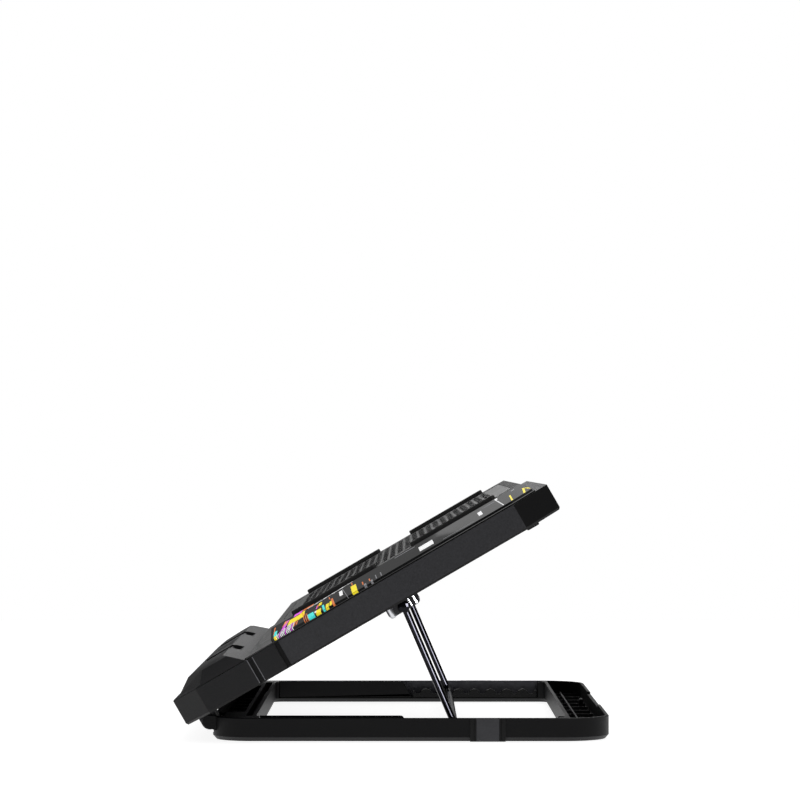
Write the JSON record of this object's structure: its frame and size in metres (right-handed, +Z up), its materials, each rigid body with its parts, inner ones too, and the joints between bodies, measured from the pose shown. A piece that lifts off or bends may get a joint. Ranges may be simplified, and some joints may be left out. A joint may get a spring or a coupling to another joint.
{
  "type": "laptop cooling pad",
  "caption": "Laptop cooling pad: a fan deck with a mesh top, hinged at the front of a flat ring base and propped at an angle by a folding wire strut.",
  "frame": {"origin": "on the table, under the middle of the whole object's bounding box", "axes": "+Z up; +X to the user's right; +Y from the front hinge edge towards the raised rear"},
  "size_m": [0.364, 0.2625, 0.154],
  "materials": {
    "moulded_black": "fine matt black moulding",
    "dark_moulding": "satin black moulding",
    "deck_shell": "fine textured charcoal black moulding",
    "gloss_shell": "glossy black moulding",
    "soft_grip": "smooth dark grey rubber",
    "rubber": "matt black rubber",
    "pin_steel": "plain steel pin",
    "grille_steel": "black painted perforated steel sheet",
    "board": "green circuit board",
    "socket_nickel": "nickel-plated socket shell",
    "strut_steel": "glossy black plated steel wire",
    "bright_chrome": "polished chrome cap",
    "fan_plastic": "black fan moulding",
    "button": "satin dark grey push-button"
  },
  "bodies": {
    "base": {"base_frame": "moulded_black", "tooth_rack_left": "dark_moulding", "tooth_rack_right": "dark_moulding", "rail_cover_left": "dark_moulding", "rail_cover_right": "dark_moulding", "side_grip_left": "soft_grip", "side_grip_right": "soft_grip", "rubber_foot_front_left": "rubber", "rubber_foot_front_right": "rubber", "rubber_foot_rear_left": "rubber", "rubber_foot_rear_right": "rubber", "cable_clip": "dark_moulding", "hinge_pin_left": "pin_steel", "hinge_pin_right": "pin_steel"},
    "deck": {"lower_housing": "deck_shell", "upper_housing": "gloss_shell", "front_bumper": "deck_shell", "mesh_grille": "grille_steel", "grip_strip_front_left": "rubber", "grip_strip_front_right": "rubber", "grip_strip_rear_left": "rubber", "grip_strip_rear_right": "rubber", "circuit_board": "board", "usb_socket_1": "socket_nickel", "usb_socket_2": "socket_nickel", "control_panel": "gloss_shell", "deck_pad_left": "rubber", "deck_pad_right": "rubber", "strut_bracket_left": "dark_moulding", "strut_bracket_right": "dark_moulding", "fan_frame_1": "fan_plastic", "fan_frame_2": "fan_plastic", "fan_frame_3": "fan_plastic", "fan_frame_4": "fan_plastic", "fan_frame_5": "fan_plastic", "fan_frame_6": "fan_plastic"},
    "strut": {"strut_frame": "strut_steel", "strut_cap_left": "bright_chrome", "strut_cap_right": "bright_chrome"},
    "flap_left": {"stopper_left": "dark_moulding", "stopper_pad_left": "rubber"},
    "flap_right": {"stopper_right": "dark_moulding", "stopper_pad_right": "rubber"},
    "fan_key": {"fan_button": "button"},
    "light_key": {"light_button": "button"},
    "rotor_1": {"impeller_1": "fan_plastic"},
    "rotor_2": {"impeller_2": "fan_plastic"},
    "rotor_3": {"impeller_3": "fan_plastic"},
    "rotor_4": {"impeller_4": "fan_plastic"},
    "rotor_5": {"impeller_5": "fan_plastic"},
    "rotor_6": {"impeller_6": "fan_plastic"}
  },
  "joints": [
    {"name": "deck_tilt", "type": "hinge", "parent": "base", "child": "deck", "pos_m": [0, -0.1098, 0.011], "axis": [1, 0, 0], "range_deg": [-30.1, 3]},
    {"name": "strut_swing", "type": "hinge", "parent": "deck", "child": "strut", "pos_m": [0, 0.00712, 0.08028], "axis": [1, 0, 0], "range_deg": [-10.5, 104.95]},
    {"name": "stopper_left_flip", "type": "hinge", "parent": "deck", "child": "flap_left", "pos_m": [-0.08, -0.11366, 0.04159], "axis": [1, 0, 0], "range_deg": [0, 90]},
    {"name": "stopper_right_flip", "type": "hinge", "parent": "deck", "child": "flap_right", "pos_m": [0.08, -0.11366, 0.04159], "axis": [1, 0, 0], "range_deg": [0, 90]},
    {"name": "fan_1_spin", "type": "hinge", "parent": "deck", "child": "rotor_1", "pos_m": [-0.084, -0.03427, 0.07212], "axis": [0, -0.5015, 0.8652], "continuous": true},
    {"name": "fan_2_spin", "type": "hinge", "parent": "deck", "child": "rotor_2", "pos_m": [0, -0.03427, 0.07212], "axis": [0, -0.5015, 0.8652], "continuous": true},
    {"name": "fan_3_spin", "type": "hinge", "parent": "deck", "child": "rotor_3", "pos_m": [0.084, -0.03427, 0.07212], "axis": [0, -0.5015, 0.8652], "continuous": true},
    {"name": "fan_4_spin", "type": "hinge", "parent": "deck", "child": "rotor_4", "pos_m": [-0.084, 0.02889, 0.10873], "axis": [0, -0.5015, 0.8652], "continuous": true},
    {"name": "fan_5_spin", "type": "hinge", "parent": "deck", "child": "rotor_5", "pos_m": [0, 0.02889, 0.10873], "axis": [0, -0.5015, 0.8652], "continuous": true},
    {"name": "fan_6_spin", "type": "hinge", "parent": "deck", "child": "rotor_6", "pos_m": [0.084, 0.02889, 0.10873], "axis": [0, -0.5015, 0.8652], "continuous": true},
    {"name": "fan_button_press", "type": "slide", "parent": "deck", "child": "fan_key", "axis": [0, -0.8652, -0.5015], "range_m": [0, 0.001], "stiffness_N_per_m": 400, "springref_m": -0.001},
    {"name": "light_button_press", "type": "slide", "parent": "deck", "child": "light_key", "axis": [0, -0.8652, -0.5015], "range_m": [0, 0.001], "stiffness_N_per_m": 400, "springref_m": -0.001}
  ],
  "couplings": [
    {"joint": "strut_swing", "follows": "deck_tilt", "ratio": -3.485}
  ]
}
